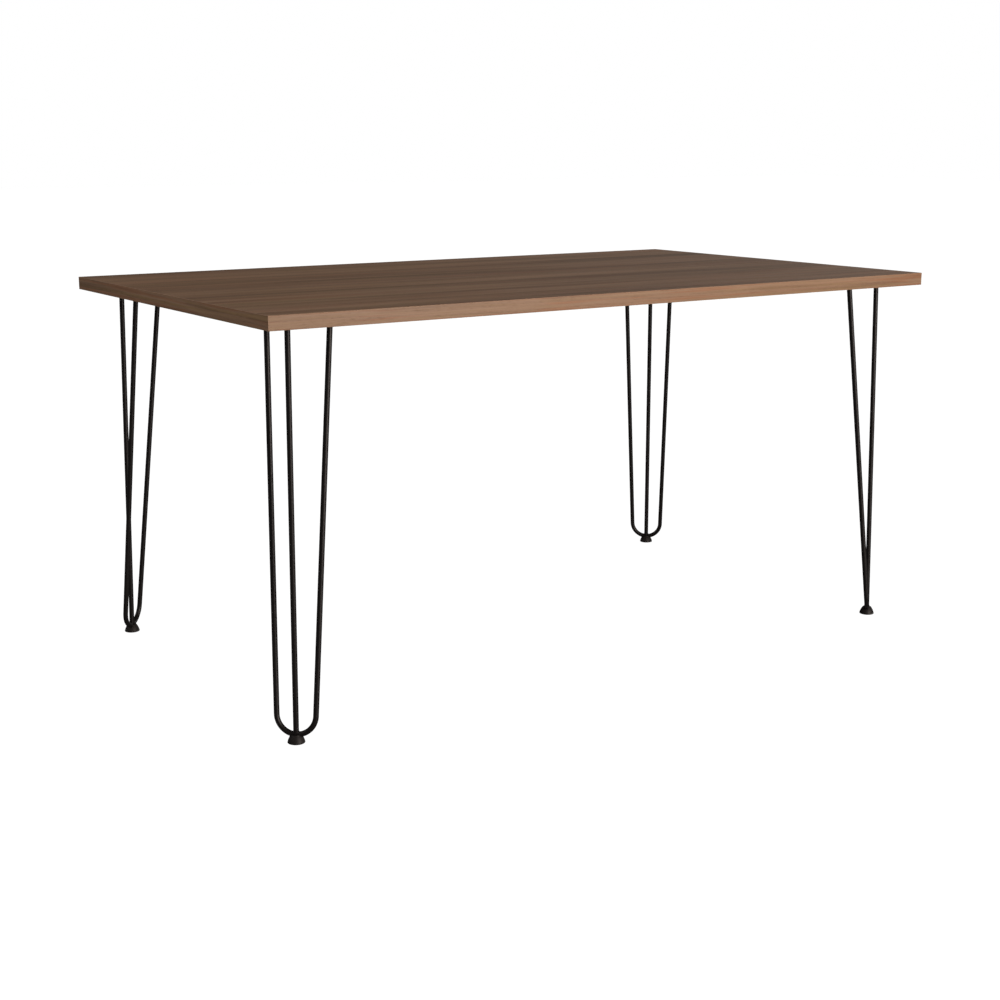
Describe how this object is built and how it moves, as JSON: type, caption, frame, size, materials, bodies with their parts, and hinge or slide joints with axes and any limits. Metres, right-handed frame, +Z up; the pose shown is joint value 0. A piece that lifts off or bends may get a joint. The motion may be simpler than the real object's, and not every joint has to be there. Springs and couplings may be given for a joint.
{
  "type": "dining table",
  "caption": "Rectangular table: a wood-grain faced board top with banded edges, on slim black hairpin legs that lean outwards to small conical feet.",
  "frame": {"origin": "on the floor, under the middle of the top", "axes": "+X along the length of the top, -Y to the front long edge, +Z up"},
  "size_m": [1.5, 0.88, 0.745],
  "materials": {
    "wood_face": "satin walnut-tone wood-grain decor sheet",
    "wood_band": "satin walnut-tone wood-grain edge band",
    "core": "raw particle board",
    "black_steel": "satin black powder coat on steel rod and plate",
    "foot": "matt black plastic",
    "screw": "blackened steel"
  },
  "bodies": {
    "root": {"core_board": "core", "face_sheet": "wood_face", "underside_sheet": "wood_face", "edge_band_front": "wood_band", "edge_band_back": "wood_band", "edge_band_left": "wood_band", "edge_band_right": "wood_band", "mounting_plate_front_left": "black_steel", "hairpin_rod_front_left": "black_steel", "centre_rod_front_left": "black_steel", "foot_front_left": "foot", "screw_front_left_1": "screw", "screw_front_left_2": "screw", "screw_front_left_3": "screw", "screw_front_left_4": "screw", "screw_front_left_5": "screw", "mounting_plate_front_right": "black_steel", "hairpin_rod_front_right": "black_steel", "centre_rod_front_right": "black_steel", "foot_front_right": "foot", "screw_front_right_1": "screw", "screw_front_right_2": "screw", "screw_front_right_3": "screw", "screw_front_right_4": "screw", "screw_front_right_5": "screw", "mounting_plate_back_right": "black_steel", "hairpin_rod_back_right": "black_steel", "centre_rod_back_right": "black_steel", "foot_back_right": "foot", "screw_back_right_1": "screw", "screw_back_right_2": "screw", "screw_back_right_3": "screw", "screw_back_right_4": "screw", "screw_back_right_5": "screw", "mounting_plate_back_left": "black_steel", "hairpin_rod_back_left": "black_steel", "centre_rod_back_left": "black_steel", "foot_back_left": "foot", "screw_back_left_1": "screw", "screw_back_left_2": "screw", "screw_back_left_3": "screw", "screw_back_left_4": "screw", "screw_back_left_5": "screw"}
  },
  "joints": []
}
